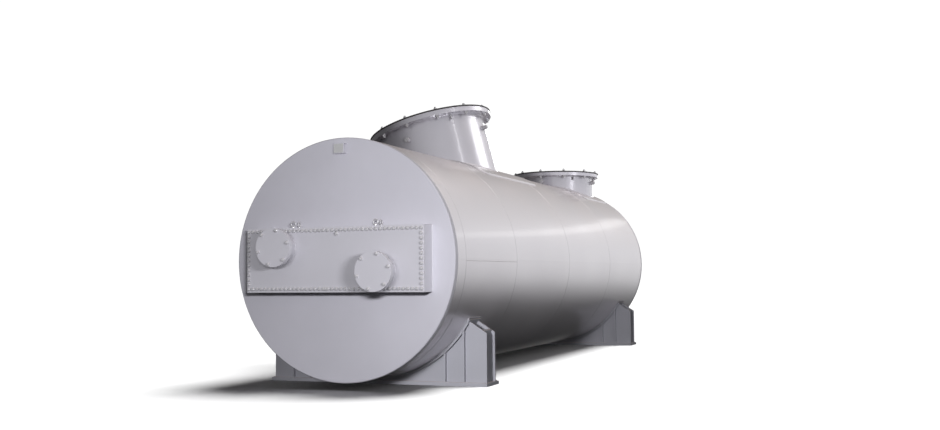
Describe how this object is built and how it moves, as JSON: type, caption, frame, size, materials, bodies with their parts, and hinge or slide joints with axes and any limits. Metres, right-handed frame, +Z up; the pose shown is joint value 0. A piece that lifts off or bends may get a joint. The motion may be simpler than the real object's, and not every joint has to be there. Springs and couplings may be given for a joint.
{
  "type": "extended surface cooler",
  "caption": "Horizontal shell-type gas cooler on two saddles, with a bolted flat water header, blanked water nozzles and large flanged gas nozzles on top.",
  "frame": {"origin": "on the floor under the middle of the whole part", "axes": "+Z up, +Y along the shell away from the water header, +X to the right seen from the header"},
  "size_m": [2.58, 8.669, 3.3657],
  "materials": {
    "shell_paint": "gloss silver-grey paint",
    "end_plate_paint": "satin silver-grey paint",
    "header_paint": "satin silver-grey paint",
    "nozzle_paint": "gloss silver-grey paint",
    "saddle_paint": "gloss silver-grey paint",
    "fitting_paint": "silver-grey paint",
    "dark_cover": "dark matt paint",
    "plate_metal": "brushed"
  },
  "bodies": {
    "root": {"front_end_plate": "end_plate_paint", "shell_front_ring": "shell_paint", "shell_course_1": "shell_paint", "shell_course_2": "shell_paint", "shell_course_3": "shell_paint", "shell_course_4": "shell_paint", "rear_end_plate": "end_plate_paint", "header_frame": "header_paint", "header_tubesheet": "header_paint", "header_box": "header_paint", "header_cover": "header_paint", "left_lifting_lug": "fitting_paint", "right_lifting_lug": "fitting_paint", "left_bundle_lug": "fitting_paint", "right_bundle_lug": "fitting_paint", "upper_water_neck": "header_paint", "upper_water_flange": "header_paint", "upper_water_blank": "header_paint", "lower_water_neck": "header_paint", "lower_water_flange": "header_paint", "lower_water_blank": "header_paint", "nameplate_bracket": "end_plate_paint", "nameplate": "plate_metal", "gas_inlet_pad": "shell_paint", "gas_inlet_neck": "nozzle_paint", "gas_inlet_flange": "nozzle_paint", "gas_inlet_cover": "dark_cover", "gas_inlet_front_boss": "fitting_paint", "gas_inlet_side_boss": "fitting_paint", "gas_inlet_earth_tab": "fitting_paint", "gas_outlet_pad": "shell_paint", "gas_outlet_neck": "nozzle_paint", "gas_outlet_flange": "nozzle_paint", "gas_outlet_cover": "dark_cover", "gas_outlet_front_boss": "fitting_paint", "gas_outlet_side_boss": "fitting_paint", "gas_outlet_earth_tab": "fitting_paint", "front_saddle_base": "saddle_paint", "front_saddle_front_web": "saddle_paint", "front_saddle_rear_web": "saddle_paint", "front_saddle_wear_plate": "saddle_paint", "rear_saddle_base": "saddle_paint", "rear_saddle_front_web": "saddle_paint", "rear_saddle_rear_web": "saddle_paint", "rear_saddle_wear_plate": "saddle_paint"}
  },
  "joints": []
}
